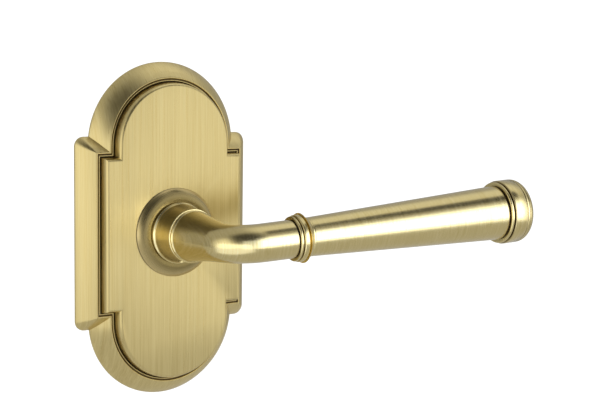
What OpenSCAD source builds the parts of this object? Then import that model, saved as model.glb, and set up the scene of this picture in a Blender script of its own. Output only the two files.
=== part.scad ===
// Lever handle lockset: the exterior trim set of a door lock.
// Plate, turning lever, return spring cassette, mounting posts and spindle.
// The origin is on the spindle axis in the plane of the door's face.
// The door is on the +Y side, the lever points along +X and +Z is up.

/* [Plate] */
// Width of the plate across its side wings
plate_w = 67; // [64:0.5:72]
// Height of the side wings
wing_h = 66.6; // [60:0.2:72]
// Outer radius of the round top and bottom
arch_r = 28.4; // [27:0.2:30]
// Height of the round ends' centres above and below the spindle
arch_z = 30.1; // [28:0.1:34]
// Distance of the moulded border's crest from the door
rim_h = 7; // [6.6:0.1:7.2]
// Distance of the raised panel's face from the door
panel_h = 9.5; // [9:0.1:10.5]
// Distance of the raised panel's edge in from the plate's edge
border_w = 7.3; // [7:0.1:8]

/* [Lever] */
// Distance of the arm's axis from the door at the middle collar
collar_h = 51.9; // [49:0.1:54]
// Distance from the spindle axis to the middle collar
collar_x = 20.1; // [19:0.1:24]
// Distance from the spindle axis to the far end of the lever
lever_len = 112.4; // [105:0.1:125]
// Angle by which the lever points up at rest
lift = 3.5; // [0:0.1:5]
// Angle by which the lever leans away from the door
flare = 6; // [0:0.5:8]
// Radius of the centre line through the bend
bend_r = 11; // [9:0.5:13]
// Radius of the arm where it leaves the neck
arm_root_r = 8.75; // [8:0.05:9]
// Radius of the arm through the bend
arm_bend_r = 6.2; // [6:0.05:6.6]
// Radius of the arm at the middle collar
arm_tip_r = 6.45; // [6.2:0.05:6.6]
// Radius of the grip beside the middle collar
grip_root_r = 6.55; // [6.4:0.05:7]
// Radius of the grip beside the end cap
grip_tip_r = 9.6; // [9:0.1:10]
// Radius of the end cap
cap_r = 11.3; // [10.9:0.1:12]

/* [Mounting] */
// Distance between the two through-bolt posts
post_gap = 38.1; // [38.1:0.1:41.3]
// Radius of the threaded hole in each post
post_thread_r = 2.1; // [1.6:0.1:2.4]
// Reach of the posts into the door
post_reach = 16; // [12:1:20]
// Side of the square spindle
spindle_side = 8; // [7:0.1:8]
// Reach of the spindle into the door
spindle_reach = 45; // [35:1:60]

/* [Return spring] */
// Turn of the lever from rest to its stop
turn = 50; // [35:1:55]
// Diameter of the spring's wire
wire_d = 1.6; // [1.2:0.1:1.6]
// Turns of wire in the spring
spring_turns = 3.25; // [2.25:1:3.25]

/* [Hidden] */
$fn = 96;

brass = [0.80, 0.71, 0.45];
steel = [0.66, 0.67, 0.69];
nylon = [0.90, 0.89, 0.84];

eps = 0.01;

// Plate border, as insets from the plate's edge and heights from the door
edge_h = 0.8;
slope_w = 5.2;
slope_bulge = 0.4;
recess_in = 5.4;
recess_h = 6.1;
groove_in = 6.5;
groove_h = 5.7;
panel_round = 0.6;
slope_len = norm([slope_w, rim_h - edge_h]);
slope_r = (pow(slope_len, 2) / 8 + pow(slope_bulge, 2) / 2) / slope_bulge;
slope_cx = slope_w / 2 + (slope_r - slope_bulge) * (rim_h - edge_h) / slope_len;
slope_cy = (rim_h + edge_h) / 2 - (slope_r - slope_bulge) * slope_w / slope_len;

// Back of the plate
seat_in = 4.5;
seat_h = 2.5;
hollow_in = 9;
hollow_h = 7;
screw_x = 13;
screw_z = 38;
screw_boss_r = 4.5;
m3_r = 1.5;
screw_h = 1.6;
screw_len = 4.3;
screw_head_r = 2.9;
screw_hex_r = 1.1;
sink_r = 3.2;
seat_gap = 0.3;
fit = 0.05;

// Boss on the panel
boss_r = 15;
boss_step_h = 10.0;
boss_top_h = 12.7;
boss_dome_r = 3.5;
boss_spigot_r = 12.5;
bushing_r = 10;

// Shank and what it carries, measured along its axis
shank_r = 8;
bore_r = shank_r + fit;
neck_h = 12.8;
bead_r = 0.6;
neck_root_r = 10.2;
neck_tip_r = 8.95;
neck_top_h = 22.6;
bead2_r = 0.42;
shank_end = -13.8;
flat_z = 7.2;
flat_top_h = 3.5;
socket_r = 5;
socket_h = 20;
drive_top_h = 19.2;
ring_h = -12.4;
ring_t = 1.2;
ring_groove_r = 7.2;
ring_r = 10.4;
wave_r = 10.6;
wave_h = -10.7;
washer_h = -10.3;
washer_t = 0.8;
set_screw_h = 16.9;
set_screw_r = 2;

// Mounting posts and spring cassette
post_r = 3.5;
case_r = 14.8;
case_in_r = 13.6;
case_floor = -7.2;
case_back = -8.4;
flange_r = 17;
flange_t = 1.2;
ear_z = 19.5;
ear_r = 4.2;
case_head_r = 2.8;
case_head_h = 1.7;
case_hex_r = 1.4;
rear_spigot_r = 9.4;
rear_flange_r = 11;
front_flange_r = 12;
cover_h = seat_h + flange_t;
cover_t = 1;
hub_r = 9.6;
hub_back = -6.9;
lug_r = 13.1;
lug_half = 12;
lug_back = 0.9;
lug_front = 3.4;
pin_r = 1.2;
pin_at_r = 11.8;
pin_half = asin(pin_r / pin_at_r);
pin_gap = 0.6;
stop_angles = [90 + lug_half + pin_half + pin_gap, 90 - turn - lug_half - pin_half - pin_gap];
spring_r = 11.2;
leg_hole_r = wire_d / 2 + 0.15;
spring_back = -6.2;
spring_front = -0.2;
leg_back = -8.2;
leg_front = 3.0;

// Arm, in the plane of the bend: x from the spindle axis, h from the door
bend_turn = 90 - flare;
arm_start_h = 22.9;
bend_end = [bend_r * (1 - cos(bend_turn)), bend_r * sin(bend_turn)];
straight_len = (collar_x - bend_end[0]) / cos(flare);
bend_end_h = collar_h - straight_len * sin(flare);
bend_start_h = bend_end_h - bend_end[1];
arm_steps = 20;
neck_steps = 8;
arm_taper_share = 0.5;
arm_sides = 40;
stud_r = 3;
stud_in = 9;
stud_out = 14;

// Lever pieces, measured along the lever from the end of the arm
len_total = (lever_len - collar_x) / cos(flare);
collar_len = 6.9;
cap_len = 8.9;
cap_ring_len = 1.7;
grip_end = len_total - cap_len - cap_ring_len;
cap_round = 3.4;
cap_lines = [3.4, 4.9];

// ---------- helpers ----------

// Stands a shape drawn on its back, front face up, against the door
module upright() {
    rotate([90, 0, 0]) children();
}

// Plate outline drawn in from its edge
module outline(inset) {
    square([plate_w - 2 * inset, wing_h - 2 * inset], center = true);
    square([2 * (arch_r - inset), 2 * arch_z], center = true);
    for (s = [-1, 1]) translate([0, s * arch_z]) circle(r = arch_r - inset);
}

// A slab of the outline between two heights
module outline_slab(inset, low, high) {
    translate([0, 0, low]) linear_extrude(high - low) outline(inset);
}

// Half of the border's section, from the plate's edge in to the middle
module slope_half(half) {
    intersection() {
        square([half, rim_h]);
        union() {
            square([half - slope_w - 2, rim_h]);
            translate([half - slope_cx, slope_cy]) circle(r = slope_r);
        }
    }
}

module slope_section(half) {
    slope_half(half);
    mirror([1, 0]) slope_half(half);
}

// Half of the raised panel's section, with its rounded edge
module panel_half(half) {
    square([half, panel_h - panel_round]);
    square([half - panel_round, panel_h]);
    translate([half - panel_round, panel_h - panel_round]) circle(r = panel_round);
}

module panel_section(half) {
    panel_half(half);
    mirror([1, 0]) panel_half(half);
}

// Extrudes a section along the plate's height or across its width
module along_height(length) {
    rotate([90, 0, 0]) translate([0, 0, -length / 2]) linear_extrude(length) children();
}

module across_width(length) {
    rotate([0, 0, 90]) along_height(length) children();
}

// Ring of points about a point of a path, given two directions across it
function ring_points(at, n, b, r, sides) =
    [for (k = [0:sides - 1]) let (a = 360 * k / sides) at + r * (cos(a) * n + sin(a) * b)];

function tube_faces(rings, sides) = concat(
    [[for (k = [0:sides - 1]) k]],
    [for (i = [0:rings - 2], k = [0:sides - 1])
        [i * sides + k, (i + 1) * sides + k, (i + 1) * sides + (k + 1) % sides,
         i * sides + (k + 1) % sides]],
    [[for (k = [sides - 1:-1:0]) (rings - 1) * sides + k]]);

// Places a piece that is turned about the lever's axis at a distance along it
module on_lever(along) {
    upright() rotate([0, 0, lift]) translate([collar_x, 0, collar_h])
        rotate([0, 90 - flare, 0]) translate([0, 0, along]) children();
}

// ---------- fixed pieces ----------

module escutcheon_plate() {
    color(brass) upright() difference() {
        union() {
            difference() {
                union() {
                    intersection() {
                        along_height(wing_h) slope_section(plate_w / 2);
                        across_width(plate_w) slope_section(wing_h / 2);
                    }
                    arch_body() slope_half(arch_r);
                }
                outline_slab(recess_in, recess_h, rim_h + 1);
                outline_slab(groove_in, groove_h, rim_h + 1);
            }
            intersection() {
                along_height(wing_h - 2 * border_w) panel_section(plate_w / 2 - border_w);
                across_width(plate_w - 2 * border_w) panel_section(wing_h / 2 - border_w);
            }
            arch_body() panel_half(arch_r - border_w);
        }
        outline_slab(seat_in, -1, seat_h);
        difference() {
            outline_slab(hollow_in, seat_h - 1, hollow_h);
            screw_places() translate([0, 0, seat_h - 2]) cylinder(r = screw_boss_r, h = hollow_h);
        }
        screw_places() translate([0, 0, seat_h - 1]) cylinder(r = m3_r + fit, h = 4.7);
        translate([0, 0, hollow_h - 1]) cylinder(r = boss_spigot_r + fit, h = panel_h);
    }
}

// Round-ended body with the given half section
module arch_body() {
    for (s = [0, 180]) rotate([0, 0, s]) translate([0, arch_z, 0])
        rotate_extrude(angle = 180) children();
    along_height(2 * arch_z) union() {
        children();
        mirror([1, 0]) children();
    }
}

module screw_places() {
    for (x = [-1, 1], z = [-1, 1]) translate([x * screw_x, z * screw_z, 0]) children();
}

module boss_collar() {
    color(brass) upright() rotate_extrude() difference() {
        union() {
            intersection() {
                translate([bore_r, panel_h]) square([boss_r - bore_r, boss_top_h - panel_h]);
                union() {
                    translate([boss_r - boss_dome_r + 0.1, boss_top_h - boss_dome_r])
                        circle(r = boss_dome_r);
                    square([boss_r - boss_dome_r, boss_top_h]);
                    square([boss_r, boss_step_h]);
                }
            }
            translate([bore_r, hollow_h]) square([boss_spigot_r - bore_r, panel_h - hollow_h]);
        }
        square([bushing_r + fit, 2 * boss_top_h]);
    }
}

module boss_bushing() {
    color(nylon) upright() rotate_extrude() {
        translate([bore_r, hollow_h - 1.3]) square([bushing_r - bore_r, neck_h - 0.1 - hollow_h + 1.3]);
        translate([bore_r, hollow_h - 1.3]) square([front_flange_r - bore_r, 1.25]);
    }
}

module base_plate() {
    color(steel) upright() difference() {
        outline_slab(seat_in + seat_gap, 0, seat_h);
        translate([0, 0, -1]) cylinder(r = case_r + 0.2, h = seat_h + 2);
        for (s = [-1, 1]) translate([s * post_gap / 2, 0, -1]) cylinder(r = post_r, h = seat_h + 2);
        for (s = [-1, 1]) translate([0, s * ear_z, -1]) cylinder(r = m3_r, h = seat_h + 2);
        screw_places() {
            translate([0, 0, -1]) cylinder(r = m3_r + fit, h = seat_h + 2);
            translate([0, 0, -eps]) cylinder(r1 = sink_r + eps, r2 = m3_r + fit, h = screw_h + fit);
        }
    }
}

module mounting_posts() {
    color(steel) upright() for (s = [-1, 1]) translate([s * post_gap / 2, 0, 0]) difference() {
        translate([0, 0, -post_reach]) cylinder(r = post_r, h = post_reach + seat_h);
        translate([0, 0, -post_reach - 1]) cylinder(r = post_thread_r, h = post_reach + 1);
    }
}

module plate_screws() {
    color(steel) upright() screw_places() difference() {
        union() {
            translate([0, 0, screw_h - 1.35]) cylinder(r1 = screw_head_r, r2 = m3_r, h = 1.4);
            translate([0, 0, screw_h]) cylinder(r = m3_r, h = screw_len);
        }
        cylinder(r = screw_hex_r, h = 1.2, $fn = 6);
    }
}

// Flange outline of the cassette, with an ear above and below
module cassette_flange(thickness, hole_r) {
    linear_extrude(thickness) difference() {
        union() {
            circle(r = flange_r);
            for (s = [-1, 1]) translate([0, s * ear_z]) circle(r = ear_r);
        }
        circle(r = hole_r);
        for (s = [-1, 1]) translate([0, s * ear_z]) circle(r = m3_r + fit);
    }
}

module cassette_housing() {
    color(steel) upright() difference() {
        union() {
            translate([0, 0, seat_h]) cassette_flange(flange_t, case_in_r);
            translate([0, 0, case_back]) difference() {
                cylinder(r = case_r, h = seat_h + 0.5 - case_back);
                translate([0, 0, case_floor - case_back]) cylinder(r = case_in_r, h = 20);
            }
        }
        translate([0, 0, case_back - 1]) cylinder(r = rear_spigot_r + fit, h = 4);
        rotate([0, 0, 90 + 360 * spring_turns]) translate([spring_r, 0, case_back - 1])
            cylinder(r = leg_hole_r, h = 4);
    }
}

module cassette_cover() {
    color(steel) upright() difference() {
        translate([0, 0, cover_h]) cassette_flange(cover_t, bore_r + 0.4);
        for (a = stop_angles) rotate([0, 0, a]) translate([pin_at_r, 0, cover_h - 1])
            cylinder(r = pin_r, h = cover_t + 2);
    }
}

module cassette_screws() {
    color(steel) upright() for (s = [-1, 1]) translate([0, s * ear_z, 0]) difference() {
        union() {
            translate([0, 0, 0.4]) cylinder(r = m3_r, h = cover_h + cover_t - 0.3);
            translate([0, 0, cover_h + cover_t]) cylinder(r = case_head_r, h = case_head_h);
        }
        translate([0, 0, cover_h + cover_t + 0.6]) cylinder(r = case_hex_r, h = 2, $fn = 6);
    }
}

module stop_pins() {
    color(steel) upright() for (a = stop_angles) rotate([0, 0, a])
        translate([pin_at_r, 0, lug_back]) cylinder(r = pin_r, h = cover_h + cover_t - lug_back);
}

module rear_bushing() {
    color(nylon) upright() rotate_extrude() {
        translate([bore_r, case_back - 1]) square([rear_spigot_r - bore_r, case_floor - case_back + 1]);
        translate([bore_r, case_back - 1]) square([rear_flange_r - bore_r, 1]);
    }
}

// Path of the spring as [angle about the shank, height]: a leg, the coil and a leg
function spring_path(bend = wire_d, steps = 5, per_turn = 30) = let (
    deg = 180 / (PI * spring_r),
    first = 90 + 360 * spring_turns,
    coils = round(per_turn * spring_turns),
    rise = spring_front - spring_back)
    concat(
        [[first, leg_back]],
        [for (i = [0:steps]) let (a = 90 * i / steps)
            [first - bend * deg * (1 - cos(a)), spring_back - bend * (1 - sin(a))]],
        [for (i = [1:coils - 1]) let (t = i / coils)
            [first - bend * deg - t * (first - 90 - 2 * bend * deg), spring_back + rise * t]],
        [for (i = [0:steps]) let (a = 90 * i / steps)
            [90 + bend * deg * (1 - sin(a)), spring_front + bend * (1 - cos(a))]],
        [[90, leg_front]]);

function on_coil(p) = [spring_r * cos(p[0]), spring_r * sin(p[0]), p[1]];

function unit(v) = v / norm(v);

module return_spring(sides = 8) {
    path = spring_path();
    last = len(path) - 1;
    points = [for (i = [0:last]) let (
        at = on_coil(path[i]),
        t = unit(on_coil(path[min(i + 1, last)]) - on_coil(path[max(i - 1, 0)])),
        n = unit([at[0], at[1], 0]),
        b = cross(t, n)) each ring_points(at, n, b, wire_d / 2, sides)];
    color(steel) upright() polyhedron(points, tube_faces(last + 1, sides));
}

// ---------- pieces that turn with the lever ----------

module lever_neck() {
    color(brass) upright() difference() {
        rotate_extrude() {
            translate([0, shank_end]) square([shank_r, neck_h - shank_end + 1]);
            polygon([[0, neck_h], [neck_root_r, neck_h], [neck_root_r, neck_h + 2 * bead_r],
                     [neck_tip_r, neck_top_h - 0.9], [neck_tip_r, neck_top_h], [0, neck_top_h]]);
            translate([neck_root_r, neck_h + bead_r]) circle(r = bead_r);
            translate([neck_tip_r, neck_top_h - bead2_r]) circle(r = bead2_r);
        }
        translate([0, 0, shank_end - 1]) linear_extrude(drive_top_h - shank_end + 1)
            square(spindle_side + 0.1, center = true);
        translate([0, 0, socket_h]) cylinder(r = socket_r + fit, h = 10);
        translate([-shank_r, flat_z, shank_end - 1])
            cube([2 * shank_r, shank_r, flat_top_h - shank_end + 1]);
        difference() {
            translate([0, 0, ring_h]) cylinder(r = shank_r + 1, h = ring_t);
            translate([0, 0, ring_h - 1]) cylinder(r = ring_groove_r, h = ring_t + 2);
        }
        translate([0, 0, set_screw_h]) rotate([90, 0, 0])
            cylinder(r = set_screw_r + fit, h = 2 * shank_r);
    }
}

// Centre line of the arm from the neck to the collar, as [x, h, direction, share of its length]
function arm_path() = let (
    rise = bend_start_h - arm_start_h,
    arc = bend_r * bend_turn * PI / 180,
    total = rise + arc + straight_len)
    concat(
        [for (i = [0:neck_steps - 1]) let (s = rise * i / neck_steps)
            [0, arm_start_h + s, 0, s / total]],
        [for (i = [0:arm_steps]) let (a = bend_turn * i / arm_steps)
            [bend_r * (1 - cos(a)), bend_start_h + bend_r * sin(a), a,
             (rise + arc * i / arm_steps) / total]],
        [[collar_x, collar_h, bend_turn, 1]]);

// The arm thins quickly as it leaves the neck and thickens a little towards the collar
function arm_radius(share) = arm_bend_r + (arm_tip_r - arm_bend_r) * share
    + (arm_root_r - arm_bend_r) * pow(max(0, 1 - share / arm_taper_share), 1.5);

module lever_arm() {
    path = arm_path();
    points = [for (p = path) each ring_points(
        [p[0], 0, p[1]], [cos(p[2]), 0, -sin(p[2])], [0, 1, 0], arm_radius(p[3]), arm_sides)];
    color(brass) difference() {
        union() {
            upright() rotate([0, 0, lift]) polyhedron(points, tube_faces(len(path), arm_sides));
            upright() translate([0, 0, socket_h + 0.1]) cylinder(r = socket_r, h = 6);
        }
        on_lever(-stud_in) cylinder(r = stud_r + fit, h = stud_in + 1);
    }
}

module arm_collar() {
    color(brass) on_lever(0) rotate_extrude() difference() {
        union() {
            square([arm_tip_r - 0.45, 0.6]);
            translate([0, 0.3]) square([7.2, 0.95]);
            translate([6.85, 0.8]) circle(r = 0.55);
            translate([0, 1.2]) square([7.15, 0.6]);
            translate([0, 1.6]) square([7.45, 1.8]);
            translate([6.95, 2.5]) circle(r = 0.95);
            difference() {
                translate([0, 3.3]) square([7.65, collar_len - 3.3]);
                translate([grip_root_r + 2.6, collar_len - 0.6]) circle(r = 2.6);
                for (y = [4.4, 5.5]) translate([7.2, y]) circle(r = 0.12);
            }
        }
        square([stud_r + fit, collar_len + 1]);
    }
}

module collar_stud() {
    color(steel) on_lever(-stud_in + 0.4) cylinder(r = stud_r, h = stud_in + stud_out + collar_len - 1);
}

module lever_grip() {
    color(brass) on_lever(collar_len) difference() {
        cylinder(r1 = grip_root_r, r2 = grip_tip_r, h = grip_end - collar_len);
        translate([0, 0, -1]) cylinder(r = stud_r + fit, h = stud_out + 1);
        translate([0, 0, grip_end - collar_len - 12]) cylinder(r = stud_r + fit, h = 13);
    }
}

module cap_ring() {
    color(brass) on_lever(grip_end) rotate_extrude() difference() {
        union() {
            square([grip_tip_r - 0.4, cap_ring_len]);
            translate([0, 0.35]) square([grip_tip_r + 0.4, cap_ring_len - 0.7]);
            translate([grip_tip_r + 0.4, cap_ring_len / 2]) circle(r = cap_ring_len / 2 - 0.35);
        }
        square([stud_r + fit, cap_ring_len + 1]);
    }
}

module end_cap() {
    color(brass) on_lever(grip_end + cap_ring_len) difference() {
        rotate_extrude() difference() {
            intersection() {
                square([cap_r, cap_len]);
                union() {
                    square([cap_r, cap_len - cap_round]);
                    square([cap_r - cap_round, cap_len]);
                    translate([cap_r - cap_round, cap_len - cap_round]) circle(r = cap_round);
                }
            }
            for (y = cap_lines) translate([cap_r, y]) circle(r = 0.22);
        }
        translate([0, 0, -1]) cylinder(r = stud_r + fit, h = 6);
    }
}

module cap_stud() {
    color(steel) on_lever(grip_end - 11.5) cylinder(r = stud_r, h = 11.5 + cap_ring_len + 4.6);
}

module neck_set_screw() {
    color(steel) upright() translate([0, -spindle_side / 2 - 0.06, set_screw_h])
        rotate([90, 0, 0]) difference() {
            cylinder(r = set_screw_r, h = 4.6);
            translate([0, 0, 2.4]) cylinder(r = 1.15, h = 3, $fn = 6);
        }
}

module spindle() {
    color(steel) upright() translate([0, 0, -spindle_reach])
        linear_extrude(spindle_reach + drive_top_h - 0.3) square(spindle_side, center = true);
}

module driver_hub() {
    color(steel) upright() difference() {
        union() {
            translate([0, 0, hub_back]) cylinder(r = hub_r, h = lug_front - hub_back);
            translate([0, 0, lug_back]) linear_extrude(lug_front - lug_back) intersection() {
                circle(r = lug_r);
                polygon([[0, 0], 2 * lug_r * [cos(90 - lug_half), sin(90 - lug_half)],
                         2 * lug_r * [cos(90 + lug_half), sin(90 + lug_half)]]);
            }
        }
        translate([0, 0, hub_back - 1]) linear_extrude(lug_front - hub_back + 2) difference() {
            circle(r = bore_r);
            translate([-shank_r, flat_z + fit]) square(2 * shank_r);
        }
        translate([0, spring_r, lug_back - 1]) cylinder(r = leg_hole_r, h = 5);
    }
}

module thrust_washer() {
    color(steel) upright() translate([0, 0, washer_h]) difference() {
        cylinder(r = rear_flange_r, h = washer_t);
        translate([0, 0, -1]) cylinder(r = bore_r, h = 3);
    }
}

// Wavy ring: three waves round its circle
module wave_washer(sides = 72, wave = 0.12, thick = 0.35) {
    points = [for (i = [0:sides - 1], c = [[bore_r, 0], [wave_r, 0], [wave_r, thick], [bore_r, thick]])
        let (a = 360 * i / sides)
            [c[0] * cos(a), c[0] * sin(a), wave_h + c[1] - thick / 2 + wave * sin(3 * a)]];
    faces = [for (i = [0:sides - 1], k = [0:3]) let (j = (i + 1) % sides)
        [4 * i + k, 4 * i + (k + 1) % 4, 4 * j + (k + 1) % 4, 4 * j + k]];
    color(steel) upright() polyhedron(points, faces);
}

module retaining_ring() {
    color(steel) upright() translate([0, 0, ring_h + 0.05]) linear_extrude(ring_t - 0.1) difference() {
        circle(r = ring_r);
        circle(r = ring_groove_r);
        translate([0, -10]) square([4, 20], center = true);
    }
}

escutcheon_plate();
boss_collar();
boss_bushing();
base_plate();
mounting_posts();
plate_screws();
cassette_housing();
cassette_cover();
cassette_screws();
stop_pins();
rear_bushing();
return_spring();
lever_neck();
lever_arm();
arm_collar();
collar_stud();
lever_grip();
cap_ring();
end_cap();
cap_stud();
neck_set_screw();
spindle();
driver_hub();
thrust_washer();
wave_washer();
retaining_ring();
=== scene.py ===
"""Looks for the lever handle lockset: satin brass trim in a plain pale studio."""
import math

import bmesh
import bpy
from mathutils import Matrix, Vector


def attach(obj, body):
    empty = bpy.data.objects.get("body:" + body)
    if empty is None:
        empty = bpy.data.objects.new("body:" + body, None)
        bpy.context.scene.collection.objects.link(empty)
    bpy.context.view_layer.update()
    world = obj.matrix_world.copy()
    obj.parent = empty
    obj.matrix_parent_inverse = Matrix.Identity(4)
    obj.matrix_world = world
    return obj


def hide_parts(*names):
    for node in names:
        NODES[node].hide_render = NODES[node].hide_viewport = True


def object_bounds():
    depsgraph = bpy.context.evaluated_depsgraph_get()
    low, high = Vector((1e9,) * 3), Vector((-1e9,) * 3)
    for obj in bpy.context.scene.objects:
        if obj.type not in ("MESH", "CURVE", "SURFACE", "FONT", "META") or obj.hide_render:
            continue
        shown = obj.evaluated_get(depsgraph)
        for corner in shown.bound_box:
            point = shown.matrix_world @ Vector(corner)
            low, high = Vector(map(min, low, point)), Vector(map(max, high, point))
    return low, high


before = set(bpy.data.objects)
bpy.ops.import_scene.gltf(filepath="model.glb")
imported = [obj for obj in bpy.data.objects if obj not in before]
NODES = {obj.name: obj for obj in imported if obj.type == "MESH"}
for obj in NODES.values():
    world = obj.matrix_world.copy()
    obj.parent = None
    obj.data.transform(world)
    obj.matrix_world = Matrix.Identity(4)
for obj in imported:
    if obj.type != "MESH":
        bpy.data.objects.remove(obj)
CAD_BOX = [list(corner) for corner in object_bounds()]
MM = 0.001

# ---------- camera ----------

CAMERA_AZIMUTH = math.radians(34.33)
CAMERA_DROP = math.radians(6.62)
CAMERA_ROLL = math.radians(0.74)
CAMERA_DISTANCE = 0.5559
CAMERA_TARGET = Vector((0.0579, 0.0, 0.0052))
CAMERA_LENS = 90.2
CAMERA_SENSOR = 36.0


def make_camera():
    """Puts the camera left of the plate and a little above it, looking at the lever."""
    sin_a, cos_a = math.sin(CAMERA_AZIMUTH), math.cos(CAMERA_AZIMUTH)
    sin_e, cos_e = math.sin(CAMERA_DROP), math.cos(CAMERA_DROP)
    look = Vector((sin_a * cos_e, cos_a * cos_e, -sin_e))
    right = Vector((cos_a, -sin_a, 0.0))
    up = right.cross(look)
    cos_r, sin_r = math.cos(CAMERA_ROLL), math.sin(CAMERA_ROLL)
    right, up = cos_r * right + sin_r * up, cos_r * up - sin_r * right
    data = bpy.data.cameras.new("camera")
    data.lens = CAMERA_LENS
    data.sensor_width = CAMERA_SENSOR
    camera = bpy.data.objects.new("camera", data)
    bpy.context.collection.objects.link(camera)
    turn = Matrix((right, up, -look)).transposed().to_4x4()
    camera.matrix_world = Matrix.Translation(CAMERA_TARGET - CAMERA_DISTANCE * look) @ turn
    bpy.context.scene.camera = camera


# ---------- materials ----------

# The range that most of a noise texture's values lie in
NOISE_LOW = 0.3
NOISE_HIGH = 0.7
RANGE_SOCKETS = ("From Min", "From Max", "To Min", "To Max")


class Graph:
    """A short way to build a node tree."""

    def __init__(self, tree):
        self.tree = tree

    def add(self, kind, **settings):
        node = self.tree.nodes.new(kind)
        for key, value in settings.items():
            setattr(node, key, value)
        return node

    def link(self, source, target):
        self.tree.links.new(source, target)

    def ramp(self, source, low, high, out_low, out_high, curve="LINEAR"):
        """Maps the values from low to high onto those from out_low to out_high, and holds the rest."""
        node = self.add("ShaderNodeMapRange", interpolation_type=curve)
        for name, value in zip(RANGE_SOCKETS, (low, high, out_low, out_high)):
            node.inputs[name].default_value = value
        self.link(source, node.inputs["Value"])
        return node.outputs["Result"]

    def spread(self, noise, low, high):
        """Spreads a noise over the values from low to high."""
        return self.ramp(noise, NOISE_LOW, NOISE_HIGH, low, high)

    def math(self, operation, a, b):
        node = self.add("ShaderNodeMath", operation=operation)
        for socket, value in zip(node.inputs, (a, b)):
            if isinstance(value, (int, float)):
                socket.default_value = value
            else:
                self.link(value, socket)
        return node.outputs[0]

    def vector(self, operation, a, b):
        """A vector operation on a socket and a fixed vector."""
        node = self.add("ShaderNodeVectorMath", operation=operation)
        self.link(a, node.inputs[0])
        node.inputs[1].default_value = b
        return node.outputs["Value" if operation == "DOT_PRODUCT" else "Vector"]

    def seen(self, by_brass, by_camera):
        """One shader for what the camera sees directly, another for reflections and light."""
        mix = self.add("ShaderNodeMixShader")
        self.link(self.add("ShaderNodeLightPath").outputs["Is Camera Ray"], mix.inputs[0])
        self.link(by_brass.outputs[0], mix.inputs[1])
        self.link(by_camera.outputs[0], mix.inputs[2])
        return mix.outputs[0]


class Nodes(Graph):
    """A short way to build a material."""

    def __init__(self, name):
        self.material = bpy.data.materials.new(name)
        self.material.use_nodes = True
        super().__init__(self.material.node_tree)
        self.shader = self.tree.nodes["Principled BSDF"]
        self.place = self.add("ShaderNodeTexCoord").outputs["Object"]

    def noise(self, scale, detail=3.0, rough=0.6, stretch=(1, 1, 1), source=None):
        """Noise whose grain is scale lines to the metre, drawn out along some axes."""
        mapping = self.add("ShaderNodeMapping")
        mapping.inputs["Scale"].default_value = stretch
        self.link(source or self.place, mapping.inputs["Vector"])
        noise = self.add("ShaderNodeTexNoise")
        noise.inputs["Scale"].default_value = scale
        noise.inputs["Detail"].default_value = detail
        noise.inputs["Roughness"].default_value = rough
        self.link(mapping.outputs["Vector"], noise.inputs["Vector"])
        return noise.outputs["Fac"]

    def mix(self, share, colour_a, colour_b):
        node = self.add("ShaderNodeMix", data_type="RGBA")
        self.link(share, node.inputs["Factor"])
        for socket, colour in ((node.inputs[6], colour_a), (node.inputs[7], colour_b)):
            if isinstance(colour, tuple):
                socket.default_value = (*colour, 1.0)
            else:
                self.link(colour, socket)
        return node.outputs[2]

    def bump(self, height, strength, distance, base=None):
        node = self.add("ShaderNodeBump")
        node.inputs["Strength"].default_value = strength
        node.inputs["Distance"].default_value = distance
        self.link(height, node.inputs["Height"])
        if base:
            self.link(base, node.inputs["Normal"])
        return node.outputs["Normal"]

    def finish(self, colour, roughness, normal, metallic=1.0):
        self.shader.inputs["Metallic"].default_value = metallic
        self.link(colour, self.shader.inputs["Base Color"])
        self.link(roughness, self.shader.inputs["Roughness"])
        self.link(normal, self.shader.inputs["Normal"])
        return self.material


BRASS_LIGHT = (0.84, 0.68, 0.33)
BRASS_DEEP = (0.72, 0.56, 0.22)
LEVER_LIGHT = (0.84, 0.70, 0.34)
LEVER_DEEP = (0.69, 0.55, 0.20)
# Painted shade: the brown of the boss's inner corner by the neck
BOSS_CORNER_SHADE = (0.31, 0.235, 0.075)
# Painted shade: the dark browns of the border's grooves, also used for the painted shadow at the boss's
# foot and the lever's dark lines
PAINTED_SHADE_DEEP = (0.075, 0.045, 0.022)
PAINTED_SHADE_LIGHT = (0.20, 0.145, 0.06)
PLATE_LIGHT = (0.92, 0.77, 0.37)
PLATE_DEEP = (0.71, 0.56, 0.23)
# Lines to the metre across, out from and along the plate, of its fine grain and broad streaks
PLATE_GRAIN = (2900, 350, 36)
PLATE_STREAKS = (800, 90, 14)
PLATE_ANISOTROPY = 0.45
# Lines to the metre along a turned piece's axis, and how far they wander, in metres
TURNED_GRAIN = 3200
TURNED_DRIFT = 0.0012
LACQUER = 0.65
LACQUER_ROUGHNESS = 0.3
# Distances from the axis over which the boss's painted shade, a brown in its inner corner, fades, and
# from the door where the painted shadow at its foot ends
BOSS_SHADE_RADII = (0.0122, 0.0153)
BOSS_FOOT_SHADOW = (0.0107, 0.0110)
# The share of a painted shade line's half width that is dark all through
SHADE_LINE_CORE = 0.4


def plate_brass():
    """Satin brass with a long grain up and down the plate."""
    n = Nodes("satin_brass_plate")
    fine = n.noise(1.0, 3.0, 0.65, PLATE_GRAIN)
    broad = n.noise(1.0, 2.0, 0.5, PLATE_STREAKS)
    cloud = n.noise(30, 2.0)
    share = n.math("ADD", n.spread(fine, 0.0, 0.7), n.spread(broad, 0.0, 0.3))
    colour = n.mix(share, PLATE_DEEP, PLATE_LIGHT)
    rough = n.math("ADD", n.spread(fine, 0.27, 0.38), n.spread(cloud, -0.02, 0.02))
    normal = n.bump(fine, 0.35, 0.00006, n.bump(broad, 0.2, 0.00015))
    n.shader.inputs["Anisotropic"].default_value = PLATE_ANISOTROPY
    return n.finish(colour, rough, normal)


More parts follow.
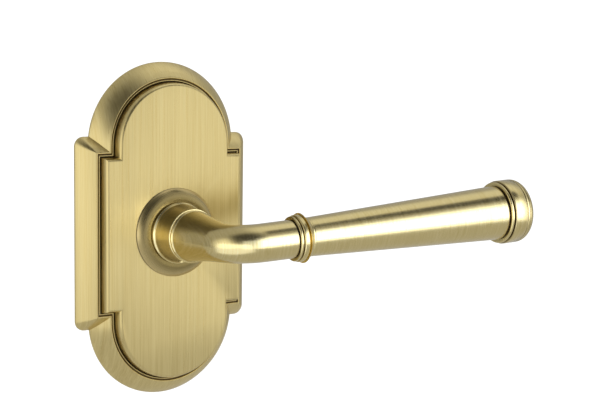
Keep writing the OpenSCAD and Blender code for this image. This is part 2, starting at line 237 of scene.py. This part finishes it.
def turned_brass(name, axis_point, axis_dir, rough_low, rough_high, deep, light, shade_radii=None, lines=()):
    """Lacquered satin brass brushed round a turned form: the grain changes only along the axis.

    The range of distances from the axis given for the boss is where a painted shade, brown, fades out
    of its inner corner next to the neck; such a piece also has a painted shadow, a dark line, at its
    foot.
    The lines given are painted shade in corners and grooves: the distance along the axis and the half
    width, in millimetres, and how dark.
    """
    n = Nodes(name)
    n.shader.inputs["Coat Weight"].default_value = LACQUER
    n.shader.inputs["Coat Roughness"].default_value = LACQUER_ROUGHNESS
    from_axis = n.vector("SUBTRACT", n.place, axis_point)
    along = n.vector("DOT_PRODUCT", from_axis, axis_dir)
    line = n.add("ShaderNodeCombineXYZ")
    n.link(along, line.inputs["X"])
    n.link(n.math("MULTIPLY", n.noise(90, 2.0), TURNED_DRIFT), line.inputs["Y"])
    fine = n.noise(TURNED_GRAIN, 3.0, 0.7, source=line.outputs["Vector"])
    cloud = n.noise(45, 2.0)
    share = n.math("ADD", n.ramp(fine, 0.35, 0.65, 0.0, 0.75), n.spread(cloud, 0.0, 0.25))
    colour = n.mix(share, deep, light)
    # Painted shade: brown in the boss's inner corner next to the neck, and a painted shadow line at its
    # foot
    if shade_radii:
        radial = n.add("ShaderNodeVectorMath", operation="LENGTH")
        n.link(n.vector("MULTIPLY", from_axis, (1.0, 0.0, 1.0)), radial.inputs[0])
        colour = n.mix(n.ramp(radial.outputs["Value"], *shade_radii, 0.0, 1.0), BOSS_CORNER_SHADE, colour)
        colour = n.mix(n.ramp(along, *BOSS_FOOT_SHADOW, 0.0, 1.0), PAINTED_SHADE_DEEP, colour)
    # Painted shade: dark lines in the lever's corners and grooves
    for place, width, dark in lines:
        away = n.math("ABSOLUTE", n.math("SUBTRACT", along, place * MM), 0.0)
        fade = n.ramp(away, SHADE_LINE_CORE * width * MM, width * MM, 1 - dark, 1.0)
        colour = n.mix(fade, PAINTED_SHADE_DEEP, colour)
    rough = n.spread(fine, rough_low, rough_high)
    normal = n.bump(fine, 0.4, 0.00004)
    return n.finish(colour, rough, normal)


def groove_shade_brass():
    """Painted shade: brass painted dark brown in the fine grooves of the border."""
    n = Nodes("painted_groove_shade")
    speck = n.noise(1500, 4.0, 0.7)
    cloud = n.noise(110, 3.0)
    share = n.math("ADD", n.spread(speck, 0.0, 0.4), n.ramp(cloud, 0.35, 0.65, 0.0, 0.6))
    colour = n.mix(share, PAINTED_SHADE_DEEP, PAINTED_SHADE_LIGHT)
    rough = n.spread(speck, 0.45, 0.62)
    return n.finish(colour, rough, n.bump(speck, 0.3, 0.00005), metallic=0.7)


def dull_metal(name, colour_a, colour_b, rough_low, rough_high, grain=900):
    """Zinc plate, spring steel and the like: fine speckle and faint clouds."""
    n = Nodes(name)
    speck = n.noise(grain, 4.0, 0.65)
    cloud = n.noise(60, 2.0)
    colour = n.mix(n.spread(cloud, 0.0, 1.0), colour_a, colour_b)
    rough = n.spread(speck, rough_low, rough_high)
    return n.finish(colour, rough, n.bump(speck, 0.2, 0.00005))


def nylon():
    """Natural moulded nylon with a faint mottle."""
    n = Nodes("moulded_nylon")
    speck = n.noise(700, 3.0)
    colour = n.mix(speck, (0.78, 0.76, 0.69), (0.86, 0.84, 0.78))
    rough = n.spread(speck, 0.42, 0.55)
    return n.finish(colour, rough, n.bump(speck, 0.15, 0.00004), metallic=0.0)


# ---------- meshes ----------

CREASE = math.radians(38)
SAME_POINT = 1e-7


def new_mesh(name, points, faces):
    """A mesh object from points in metres."""
    mesh = bpy.data.meshes.new(name)
    mesh.from_pydata([tuple(p) for p in points], [], faces)
    piece = bpy.data.objects.new(name, mesh)
    bpy.context.collection.objects.link(piece)
    return piece


def smooth(piece):
    """Smooth shading, with creases where two faces meet at a clear angle."""
    mesh = bmesh.new()
    mesh.from_mesh(piece.data)
    bmesh.ops.remove_doubles(mesh, verts=mesh.verts, dist=SAME_POINT)
    bmesh.ops.recalc_face_normals(mesh, faces=mesh.faces)
    for face in mesh.faces:
        face.smooth = True
    for edge in mesh.edges:
        edge.smooth = edge.calc_face_angle(math.pi) < CREASE
    mesh.to_mesh(piece.data)
    mesh.free()
    return piece


def lofted(rings, name):
    """A closed solid through rings of points, each a list of the same length."""
    count = len(rings[0])
    points = [p for ring in rings for p in ring]
    last = (len(rings) - 1) * count
    faces = [tuple(range(count)), tuple(reversed(range(last, last + count)))]
    for i in range(len(rings) - 1):
        for k in range(count):
            j = (k + 1) % count
            faces.append((i * count + k, (i + 1) * count + k, (i + 1) * count + j, i * count + j))
    return new_mesh(name, points, faces)


# The plate, in millimetres: its outline, how far in from its edge and how high above the door
# its features are. A wing's corner is rounded at the edge, and less the further in it is drawn.
PLATE_HALF_W = 33.5
WING_HALF_H = 33.3
WING_CORNER_R = 3.2
WING_CORNER_LEAST = 0.12
WING_CORNER_IN = 5.0
ARCH_R = 28.4
ARCH_Z = 30.1
SLOPE_BULGE = 0.36
# The insets between which the border's two grooves are painted dark as painted shade
GROOVE_INSETS = ((5.54, 5.98), (6.42, 6.8))
PANEL_H = 10.5
PANEL_BORE_R = 12.55
PANEL_BORE_H = (5.0, PANEL_H + 1)
# The recess that seats the base plate, the hollow above it and the bosses for the screws
SEAT_IN = 4.5
SEAT_H = (-1.0, 2.5)
HOLLOW_IN = 9.0
HOLLOW_FROM_H = 1.0
HOLLOW_H = 7.0
SCREW_PLACES = [(x, z) for x in (-13, 13) for z in (-38, 38)]
SCREW_BOSS_R = 4.5
SCREW_BOSS_H = (0.0, HOLLOW_H + 1)
SCREW_HOLE_R = 1.55
SCREW_HOLE_H = (1.5, 6.2)
ARC_STEPS = 40
CORNER_STEPS = 8
SLOPE_STEPS = 9


def bowed_line(start, end, bulge, steps):
    """Points along a line that bows out to its left by bulge at the middle."""
    start, end = Vector(start), Vector(end)
    out = Vector((start.y - end.y, end.x - start.x)).normalized()
    return [tuple(start.lerp(end, k / steps) + 4 * bulge * k / steps * (1 - k / steps) * out)
            for k in range(steps + 1)]


def border_section():
    """Inset and height all the way from the plate's back edge to the panel."""
    slope = bowed_line((0.12, 0.75), (4.75, 6.62), SLOPE_BULGE, SLOPE_STEPS)
    crest = [(4.95, 6.82), (5.12, 6.95), (5.28, 7.0), (5.42, 6.98), (5.5, 6.9)]
    step = [(5.54, 6.76), (5.58, 6.6), (5.66, 6.5), (5.8, 6.46), (5.98, 6.46)]
    bead = [(6.02, 6.56), (6.1, 6.68), (6.2, 6.72), (6.3, 6.7), (6.38, 6.6), (6.42, 6.44)]
    groove = [(6.44, 6.2), (6.5, 5.9), (6.58, 5.76), (6.68, 5.76), (6.76, 5.9), (6.8, 6.1)]
    riser = [(6.84, 6.4), (6.87, 7.2), (6.92, 8.1), (7.0, 8.9), (7.12, 9.45)]
    rim = [(7.28, 9.85), (7.5, 10.16), (7.77, 10.4), (8.1, PANEL_H)]
    return [(0.0, 0.0), (0.0, 0.5)] + slope + crest + step + bead + groove + riser + rim


def outline_ring(inset):
    """The outline drawn in from its edge: a quarter of it, mirrored to all four."""
    arch_r, half_w, half_h = ARCH_R - inset, PLATE_HALF_W - inset, WING_HALF_H - inset
    rise = half_h - ARCH_Z
    start = math.asin(rise / arch_r) if rise > 0 else 0.0
    quarter = []
    for k in range(ARC_STEPS):
        a = math.pi / 2 + (start - math.pi / 2) * k / ARC_STEPS
        quarter.append((arch_r * math.cos(a), ARCH_Z + arch_r * math.sin(a)))
    quarter.append((arch_r * math.cos(start), half_h))
    round_r = WING_CORNER_R * max(0.0, 1 - inset / WING_CORNER_IN) + WING_CORNER_LEAST
    centre_x, centre_z = half_w - round_r, half_h - round_r
    for k in range(CORNER_STEPS + 1):
        a = math.pi / 2 * (1 - k / CORNER_STEPS)
        quarter.append((centre_x + round_r * math.cos(a), centre_z + round_r * math.sin(a)))
    right = quarter + [(x, -z) for x, z in reversed(quarter)]
    return right + [(-x, z) for x, z in reversed(right[1:-1])]


def circle_ring(radius, centre=(0.0, 0.0), steps=128):
    """A circle about a point of the plan, in the same direction as the outline."""
    turns = [2 * math.pi * k / steps for k in range(steps)]
    return [(centre[0] + radius * math.cos(a), centre[1] - radius * math.sin(a)) for a in turns]


def box_ring(low_x, high_x, low_z, high_z):
    """A rectangle of the plan, in the same direction as the outline."""
    return [(low_x, high_z), (high_x, high_z), (high_x, low_z), (low_x, low_z)]


def at_height(ring, height):
    """Places a plan ring in millimetres at a distance in front of the door."""
    return [Vector((x * MM, -height * MM, z * MM)) for x, z in ring]


def slab(ring, low, high):
    """The solid inside a plan ring between two distances from the door."""
    return lofted([at_height(ring, low), at_height(ring, high)], "tool")


def subtract(piece, tool):
    """Takes one solid out of another for good."""
    modifier = piece.modifiers.new("cut", "BOOLEAN")
    modifier.object = tool
    modifier.solver = "EXACT"
    bpy.context.view_layer.update()
    graph = bpy.context.evaluated_depsgraph_get()
    mesh = bpy.data.meshes.new_from_object(piece.evaluated_get(graph))
    piece.modifiers.clear()
    piece.data = mesh
    bpy.data.objects.remove(tool)


def make_plate(brass, groove):
    """The moulded plate: border, grooves, raised panel and the hollow back with its screw bosses."""
    section = border_section()
    plate = lofted([at_height(outline_ring(inset), height) for inset, height in section], "plate_shell")
    for material in (brass, groove):
        plate.data.materials.append(material)
    sides = len(outline_ring(0))
    # Painted shade: the faces of the border's two grooves get the dark brown groove material
    for i, (inset, _) in enumerate(section[1:]):
        if any(low < inset <= high for low, high in GROOVE_INSETS):
            for face in plate.data.polygons[2 + i * sides:2 + (i + 1) * sides]:
                face.material_index = 1
    subtract(plate, slab(outline_ring(SEAT_IN), *SEAT_H))
    hollow = slab(outline_ring(HOLLOW_IN), HOLLOW_FROM_H, HOLLOW_H)
    for place in SCREW_PLACES:
        subtract(hollow, slab(circle_ring(SCREW_BOSS_R, place, 48), *SCREW_BOSS_H))
    subtract(plate, hollow)
    for place in SCREW_PLACES:
        subtract(plate, slab(circle_ring(SCREW_HOLE_R, place, 32), *SCREW_HOLE_H))
    subtract(plate, slab(circle_ring(PANEL_BORE_R), *PANEL_BORE_H))
    return smooth(plate)


# The lever, in millimetres and degrees: how it lies, and where the collar starts
LIFT = 3.5
FLARE = 6.0
COLLAR_X = 20.1
COLLAR_H = 51.9
LEVER_LEN = 112.4
LEVER_TOTAL = (LEVER_LEN - COLLAR_X) / math.cos(math.radians(FLARE))
# The arm's radii, and the bead at its root: distance along the arm, and radius
BEND_R = 11.0
ARM_START_H = 22.62
ARM_BEND_R = 6.2
ARM_ROOT_R = 8.75
ARM_TIP_R = 6.45
ARM_TAPER_SHARE = 0.5
ARM_BEAD = [(0.0, 8.2), (0.12, 8.25), (0.18, 8.6), (0.3, 8.88), (0.45, 8.98), (0.6, 8.9), (0.75, 8.7)]
ARM_BEAD_LEN = 0.9
# The collar, the grip and the cap
STUD_BORE_R = 3.05
COLLAR_LEN = 6.9
GRIP_ROOT_R = 6.55
GRIP_TIP_R = 9.6
GRIP_STEPS = 24
CAP_R = 11.3
CAP_LEN = 8.9
CAP_RING_LEN = 1.7
CAP_EDGE_R = 0.45
CAP_ROUND = 3.4
CAP_BORE_DEPTH = 5.0
GRIP_END = LEVER_TOTAL - CAP_LEN - CAP_RING_LEN
CAP_START = GRIP_END + CAP_RING_LEN
# The cap's fine lines, and the section of one: distance from its middle, and depth
CAP_LINES = (5.2, 6.3)
CAP_LINE_SECTION = ((-0.2, 0.0), (-0.08, 0.08), (0.0, 0.15), (0.08, 0.08), (0.2, 0.0))
CAP_LINES_END = CAP_LINES[-1] + 0.3
# Corners and grooves of the lever painted dark as painted shade: distance from the collar's start, half
# width, darkness
LEVER_SHADE_LINES = [
    (0.1, 0.26, 0.9),
    (1.43, 0.2, 0.8),
    (GRIP_END - 0.05, 0.32, 1.0),
    (CAP_START, 0.16, 0.65),
] + [(CAP_START + line, 0.13, 0.6) for line in CAP_LINES]

# The boss, in millimetres, with heights above the door: a dome from its foot to its crown
BUSHING_BORE_R = 10.05
BOSS_SPIGOT_R = 12.5
BOSS_R = 15.4
BOSS_TOP_H = 12.7
BOSS_CROWN_R = 11.5
BOSS_DOME_R = 4.93
BOSS_DOME_FROM = 38.7

# The neck: its shank with the groove for the retaining ring, and its hollowed taper
SHANK_R = 8.0
SHANK_END = -13.8
CLIP_GROOVE_R = 7.2
CLIP_GROOVE = (-12.4, -11.2)
NECK_R = 10.2
NECK_H = 12.8
NECK_TOP_H = 22.6
NECK_TAPER = 1.1
NECK_TAPER_H = 14.2
NECK_TAPER_LEN = 7.5
NECK_HOLLOW = 0.16
NECK_STEPS = 12
# The neck's sockets for the arm and the spindle, its flat and its set screw's hole
SOCKET_R = 5.05
SOCKET_H = 20.0
SPINDLE_BORE = 8.1
SPINDLE_CHAMFER = 0.4 * MM
DRIVE_TOP_H = 19.2
FLAT_Z = 7.2
FLAT_TOP_H = 3.5
FLAT_HALF_W = 9
FLAT_FAR_Z = 16
SET_SCREW_H = 16.9
SET_SCREW_BORE_R = 2.05
SET_SCREW_LOW_Z = -16.0

# UPRIGHT stands a section on the door, LIFTED lays the lever's plane at its lift and ON_LEVER
# lays a section along the lever from the start of the collar
UPRIGHT = Matrix.Rotation(math.radians(90), 4, "X")
LIFTED = UPRIGHT @ Matrix.Rotation(math.radians(LIFT), 4, "Z")
ON_LEVER = (LIFTED @ Matrix.Translation(Vector((COLLAR_X, 0, COLLAR_H)) * MM)
            @ Matrix.Rotation(math.radians(90 - FLARE), 4, "Y"))
LEVER_AXIS = tuple(ON_LEVER.to_3x3() @ Vector((0, 0, 1)))
COLLAR_PLACE = tuple(ON_LEVER.translation)


def turned(name, section, place, offset=0.0, steps=144):
    """Turns a closed [radius, distance] section about the axis of a placing matrix."""
    count = len(section)
    points = []
    for k in range(steps):
        a = 2 * math.pi * k / steps
        points += [place @ Vector((r * math.cos(a) * MM, r * math.sin(a) * MM, (s + offset) * MM))
                   for r, s in section]
    faces = []
    for k in range(steps):
        j = (k + 1) % steps
        for i in range(count):
            m = (i + 1) % count
            if section[i][0] or section[m][0]:
                faces.append((k * count + i, j * count + i, j * count + m, k * count + m))
    return smooth(new_mesh(name, points, faces))


def arc(centre_r, centre_s, radius, start, end, steps=8):
    """Points along an arc of a section, by angle from straight out."""
    turns = [math.radians(start + (end - start) * k / steps) for k in range(steps + 1)]
    return [(centre_r + radius * math.cos(a), centre_s + radius * math.sin(a)) for a in turns]


def make_collar():
    """The middle collar: a bead, a wider band and a hollow curve down to the grip."""
    section = [(STUD_BORE_R, 0.0), (6.0, 0.0), (6.0, 0.28)]
    section += [(6.9, 0.28)] + arc(7.05, 0.78, 0.5, -90, 75) + [(7.1, 1.36), (7.1, 1.5)]
    section += arc(7.35, 2.1, 0.55, -100, -20) + arc(7.25, 2.9, 0.65, 0, 70) + [(7.35, 3.62)]
    section += arc(GRIP_ROOT_R + 2.6, 6.0, 2.45, 252, 196) + [(6.72, 5.45), (6.62, 5.52), (6.7, 5.62)]
    section += [(6.64, 6.1), (6.52, 6.2), (6.58, 6.32), (GRIP_ROOT_R, COLLAR_LEN)]
    section += [(STUD_BORE_R, COLLAR_LEN)]
    return turned("collar_shell", section, ON_LEVER)


def make_grip():
    """The long tapered grip."""
    end = GRIP_END - COLLAR_LEN
    section = [(STUD_BORE_R, 0.0)]
    for k in range(GRIP_STEPS + 1):
        share = k / GRIP_STEPS
        section.append((GRIP_ROOT_R + (GRIP_TIP_R - GRIP_ROOT_R) * share, end * share))
    section += [(STUD_BORE_R, end)]
    return turned("grip_shell", section, ON_LEVER, COLLAR_LEN)


def make_cap_ring():
    """The bead between the grip and the end cap, with a groove on each side."""
    half = CAP_RING_LEN / 2
    section = [(STUD_BORE_R, 0.0), (GRIP_TIP_R - 0.45, 0.0), (GRIP_TIP_R - 0.4, 0.3)]
    section += arc(GRIP_TIP_R + 0.75, half, half - 0.28, -110, 110, 12)
    section += [(GRIP_TIP_R - 0.05, CAP_RING_LEN - 0.2), (GRIP_TIP_R, CAP_RING_LEN)]
    section += [(STUD_BORE_R, CAP_RING_LEN)]
    return turned("cap_ring_shell", section, ON_LEVER, GRIP_END)


def cap_radius(s):
    """Radius of the end cap at a distance along it, where its end rounds over."""
    past = max(0.0, s - (CAP_LEN - CAP_ROUND))
    return CAP_R - CAP_ROUND + math.sqrt(CAP_ROUND ** 2 - past ** 2)


def make_end_cap():
    """The end cap: a band with two fine lines, rounded over to a flat end."""
    section = [(STUD_BORE_R, 0.0), (GRIP_TIP_R + 0.2, 0.0)]
    section += arc(CAP_R - CAP_EDGE_R, CAP_EDGE_R, CAP_EDGE_R, -90, 0, 5)
    for line in CAP_LINES:
        for s, depth in CAP_LINE_SECTION:
            section.append((cap_radius(line + s) - depth, line + s))
    last = math.degrees(math.asin((CAP_LINES_END - CAP_LEN + CAP_ROUND) / CAP_ROUND))
    section += arc(CAP_R - CAP_ROUND, CAP_LEN - CAP_ROUND, CAP_ROUND, last, 90, 14)
    section += [(0.0, CAP_LEN), (0.0, CAP_BORE_DEPTH), (STUD_BORE_R, CAP_BORE_DEPTH)]
    return turned("end_cap_shell", section, ON_LEVER, CAP_START)


def make_boss():
    """The domed boss that sits in the panel."""
    section = [(BUSHING_BORE_R, HOLLOW_H), (BOSS_SPIGOT_R, HOLLOW_H), (BOSS_SPIGOT_R, PANEL_H)]
    section += [(BOSS_R - 0.1, PANEL_H), (BOSS_R, PANEL_H + 0.1), (BOSS_R, PANEL_H + 0.3)]
    section += arc(BOSS_CROWN_R, BOSS_TOP_H - BOSS_DOME_R, BOSS_DOME_R, BOSS_DOME_FROM, 90, 24)
    section += [(BUSHING_BORE_R + 0.2, BOSS_TOP_H), (BUSHING_BORE_R, BOSS_TOP_H - 0.2)]
    return turned("boss_shell", section, UPRIGHT)


def make_neck():
    """The turned neck with its two beads, and the shank below it that runs through the plate."""
    section = [(0.0, SHANK_END), (SHANK_R - 0.3, SHANK_END), (SHANK_R, SHANK_END + 0.3)]
    section += [(SHANK_R, CLIP_GROOVE[0]), (CLIP_GROOVE_R, CLIP_GROOVE[0])]
    section += [(CLIP_GROOVE_R, CLIP_GROOVE[1]), (SHANK_R, CLIP_GROOVE[1])]
    section += [(SHANK_R, NECK_H), (NECK_R, NECK_H), (NECK_R + 0.05, NECK_H + 0.3)]
    section += arc(NECK_R + 0.1, NECK_H + 0.72, 0.36, -90, 75, 12)
    section += [(NECK_R, NECK_TAPER_H - 0.15), (NECK_R - 0.1, NECK_TAPER_H)]
    for k in range(1, NECK_STEPS + 1):
        share = k / NECK_STEPS
        r = NECK_R - 0.1 - NECK_TAPER * share - NECK_HOLLOW * math.sin(math.pi * share)
        section.append((r, NECK_TAPER_H + NECK_TAPER_LEN * share))
    section += [(8.93, 21.76)] + arc(9.0, NECK_TOP_H - 0.42, 0.34, -80, 90, 10)
    section += [(SOCKET_R, NECK_TOP_H), (SOCKET_R, SOCKET_H), (0.0, SOCKET_H)]
    neck = turned("neck_shell", section, UPRIGHT)
    half = SPINDLE_BORE / 2
    subtract(neck, slab(box_ring(-half, half, -half, half), SHANK_END - 1, DRIVE_TOP_H))
    flat = box_ring(-FLAT_HALF_W, FLAT_HALF_W, FLAT_Z, FLAT_FAR_Z)
    subtract(neck, slab(flat, SHANK_END - 1, FLAT_TOP_H))
    ring = circle_ring(SET_SCREW_BORE_R, (0.0, -SET_SCREW_H), 32)
    ends = [[Vector((x, y, z)) * MM for x, y in ring] for z in (SET_SCREW_LOW_Z, 0.0)]
    subtract(neck, lofted(ends, "tool"))
    return smooth(neck)


def arm_path():
    """The arm's centre line: out from the neck, round the bend and along to the collar."""
    turn = math.radians(90 - FLARE)
    end_x = BEND_R * (1 - math.cos(turn))
    straight = (COLLAR_X - end_x) / math.sin(turn)
    end_h = COLLAR_H - straight * math.cos(turn)
    centre_h = end_h - BEND_R * math.sin(turn)
    rise, curve = centre_h - ARM_START_H, BEND_R * turn

    def at(s):
        if s < rise:
            return 0.0, ARM_START_H + s, 0.0
        if s < rise + curve:
            a = (s - rise) / BEND_R
            return BEND_R * (1 - math.cos(a)), centre_h + BEND_R * math.sin(a), a
        t = s - rise - curve
        return end_x + t * math.sin(turn), end_h + t * math.cos(turn), turn

    return at, rise + curve + straight


def make_arm(steps=110, sides=96):
    """The bent arm, with a small bead where it meets the neck."""
    at, total = arm_path()

    def radius(share):
        thinning = max(0.0, 1 - share / ARM_TAPER_SHARE) ** 1.5
        return ARM_BEND_R + (ARM_TIP_R - ARM_BEND_R) * share + (ARM_ROOT_R - ARM_BEND_R) * thinning

    stations = list(ARM_BEAD)
    for k in range(steps + 1):
        s = ARM_BEAD_LEN + (total - ARM_BEAD_LEN) * k / steps
        stations.append((s, radius(s / total)))
    rings = []
    for s, r in stations:
        x, h, turn = at(s)
        across = Vector((math.cos(turn), 0, -math.sin(turn)))
        ring = []
        for k in range(sides):
            a = 2 * math.pi * k / sides
            offset = r * (math.cos(a) * across + math.sin(a) * Vector((0, 1, 0)))
            ring.append(LIFTED @ ((Vector((x, 0, h)) + offset) * MM))
        rings.append(ring)
    return smooth(lofted(rings, "arm_shell"))


# ---------- studio ----------

# How bright the background and the floor are to the camera
CAMERA_WHITE = 1.15
# Light that comes from below and from above, and the soft panels:
# azimuth from straight in front of the plate, elevation, full and faded half angles, strength
BASE_LOW = 0.30
BASE_HIGH = 0.42
LOBES = [
    (35, -20, 24, 60, 0.58),
    (-74, 0, 14, 47, 0.78),
    (88, 62, 10, 36, 0.38),
]
# Dark cards: the same measures, with how much of the light each takes away
CARDS = [
    (-38, 38, 20, 46, 0.86),
    (51, 56, 6, 15, 0.95),
]
LAMP_AIM = Vector((0.065, -0.055, 0.0))
DAYLIGHT = (0.86, 0.95, 1.25)
# Azimuth, elevation, distance, width, height and radiance of the lever's lamps. The key light
# fades towards its edge, so it is three lamps, one behind the other.
LAMPS = {
    "key_0": (24, 9, 0.60, 1.05, 0.80, 0.40),
    "key_1": (24, 9, 0.61, 0.84, 0.66, 0.75),
    "key_2": (24, 9, 0.62, 0.60, 0.48, 1.3),
    "side_fill": (-24, 2, 0.64, 0.60, 0.55, 0.85),
    "bend_fill": (-66, -26, 0.66, 1.05, 0.80, 0.75),
}
FLOOR_GLOW = 0.15
FLOOR_DROP = 0.50
FLOOR_HALF = 1.6


def towards(azimuth, elevation):
    """The direction of a place in the studio, from its azimuth and elevation in degrees."""
    a, e = math.radians(azimuth), math.radians(elevation)
    return Vector((math.sin(a) * math.cos(e), -math.cos(a) * math.cos(e), math.sin(e)))


def make_world():
    """A soft studio all round: white to the camera, graded panels of light to the brass."""
    world = bpy.data.worlds.new("studio")
    bpy.context.scene.world = world
    world.use_nodes = True
    world.node_tree.nodes.clear()
    g = Graph(world.node_tree)
    direction = g.add("ShaderNodeTexCoord").outputs["Generated"]
    parts = g.add("ShaderNodeSeparateXYZ")
    g.link(direction, parts.inputs[0])

    def lobe(azimuth, elevation, inner, outer, strength):
        """A round soft panel of light seen in a direction, full inside inner degrees."""
        dot = g.vector("DOT_PRODUCT", direction, towards(azimuth, elevation))
        edge, full = math.cos(math.radians(outer)), math.cos(math.radians(inner))
        return g.ramp(dot, edge, full, 0.0, strength, "SMOOTHSTEP")

    total = g.ramp(parts.outputs["Z"], -1.0, 1.0, BASE_LOW, BASE_HIGH, "SMOOTHSTEP")
    for panel in LOBES:
        total = g.math("ADD", total, lobe(*panel))
    for card in CARDS:
        total = g.math("MULTIPLY", total, g.math("SUBTRACT", 1.0, lobe(*card)))
    studio, white = g.add("ShaderNodeBackground"), g.add("ShaderNodeBackground")
    g.link(total, studio.inputs["Strength"])
    white.inputs["Strength"].default_value = CAMERA_WHITE
    for node in (studio, white):
        node.inputs["Color"].default_value = (1, 1, 1, 1)
    g.link(g.seen(studio, white), g.add("ShaderNodeOutputWorld").inputs["Surface"])


def area_light(name, azimuth, elevation, distance, width, height, radiance, lit):
    """A soft rectangular lamp seen in a direction from the lever, lighting only some pieces."""
    out = towards(azimuth, elevation)
    data = bpy.data.lights.new(name, "AREA")
    data.shape = "RECTANGLE"
    data.size, data.size_y = width, height
    data.energy = radiance * math.pi * width * height
    data.color = DAYLIGHT
    lamp = bpy.data.objects.new(name, data)
    bpy.context.collection.objects.link(lamp)
    lamp.location = LAMP_AIM + distance * out
    lamp.rotation_euler = (-out).to_track_quat("-Z", "Y").to_euler()
    receivers = bpy.data.collections.new(name + "_lit")
    for piece in lit:
        receivers.objects.link(piece)
    lamp.light_linking.receiver_collection = receivers


def make_floor():
    """A plain pale floor well below the lock."""
    low = CAD_BOX[0][2] - FLOOR_DROP
    points = [(x * FLOOR_HALF, y * FLOOR_HALF, low) for x, y in ((-1, -1), (1, -1), (1, 1), (-1, 1))]
    floor = new_mesh("floor", points, [(0, 1, 2, 3)])
    n = Nodes("pale_floor")
    speck = n.noise(3.0)
    n.link(n.mix(speck, (0.80, 0.80, 0.80), (0.82, 0.82, 0.82)), n.shader.inputs["Base Color"])
    n.shader.inputs["Roughness"].default_value = 0.9
    n.shader.inputs["Emission Color"].default_value = (1, 1, 1, 1)
    n.shader.inputs["Emission Strength"].default_value = FLOOR_GLOW
    glow = n.add("ShaderNodeEmission")
    glow.inputs["Strength"].default_value = CAMERA_WHITE
    n.link(n.seen(n.shader, glow), n.tree.nodes["Material Output"].inputs["Surface"])
    floor.data.materials.append(n.material)


# ---------- the object ----------

def dress(piece, material):
    """Gives every face of a piece one material."""
    piece.data.materials.clear()
    piece.data.materials.append(material)


def build():
    """Puts the new shells over their CAD nodes and a material on every piece.

    Gives back the lever's shells, for the lamps that light only those.
    """
    outward = (0, -1, 0)
    boss = turned_brass("satin_brass_boss", (0, 0, 0), outward, 0.24, 0.33, BRASS_DEEP, BRASS_LIGHT,
                        BOSS_SHADE_RADII)
    neck = turned_brass("satin_brass_neck", (0, 0, 0), outward, 0.16, 0.24, LEVER_DEEP, LEVER_LIGHT)
    lever = turned_brass("satin_brass_lever", COLLAR_PLACE, LEVER_AXIS, 0.17, 0.25, LEVER_DEEP,
                         LEVER_LIGHT, lines=LEVER_SHADE_LINES)
    zinc = dull_metal("zinc_plate", (0.60, 0.61, 0.64), (0.70, 0.71, 0.72), 0.26, 0.42)
    screw = dull_metal("screw_zinc", (0.52, 0.53, 0.56), (0.64, 0.65, 0.67), 0.22, 0.36)
    spring = dull_metal("spring_steel", (0.30, 0.31, 0.34), (0.42, 0.43, 0.46), 0.24, 0.38)
    plastic = nylon()
    shells = [
        (make_plate(plate_brass(), groove_shade_brass()), "escutcheon_plate", "plate", "plate_brass", None),
        (make_boss(), "boss_collar", "plate", "turned_brass", boss),
        (make_neck(), "lever_neck", "lever", "turned_brass", neck),
        (make_arm(), "lever_arm", "lever", "lever_brass", lever),
        (make_collar(), "arm_collar", "lever", "turned_brass", lever),
        (make_grip(), "lever_grip", "lever", "lever_brass", lever),
        (make_cap_ring(), "cap_ring", "lever", "turned_brass", lever),
        (make_end_cap(), "end_cap", "lever", "turned_brass", lever),
    ]
    for piece, node, body, slot, material in shells:
        if material:
            dress(piece, material)
        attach(piece, body)
        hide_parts(node)
    lever_shells = [piece for piece, _, body, _, _ in shells if body == "lever"]
    groups = [
        (plastic, ("boss_bushing", "rear_bushing")),
        (zinc, ("base_plate", "mounting_posts", "cassette_housing", "cassette_cover", "collar_stud",
                "cap_stud", "spindle", "driver_hub", "thrust_washer")),
        (screw, ("plate_screws", "cassette_screws", "stop_pins", "neck_set_screw")),
        (spring, ("return_spring", "wave_washer", "retaining_ring")),
    ]
    for material, names in groups:
        for name in names:
            dress(NODES[name], material)
            NODES[name].data.shade_smooth()
            NODES[name].data.set_sharp_from_angle(angle=CREASE)
    NODES["spindle"].modifiers.new("weld", "WELD").merge_threshold = SAME_POINT
    chamfer = NODES["spindle"].modifiers.new("chamfer", "BEVEL")
    chamfer.width = SPINDLE_CHAMFER
    chamfer.segments = 2
    return lever_shells


make_camera()
make_world()
make_floor()
lever_shells = build()
for lamp_name, measures in LAMPS.items():
    area_light(lamp_name, *measures, lever_shells)
bpy.context.scene.view_settings.view_transform = "Standard"
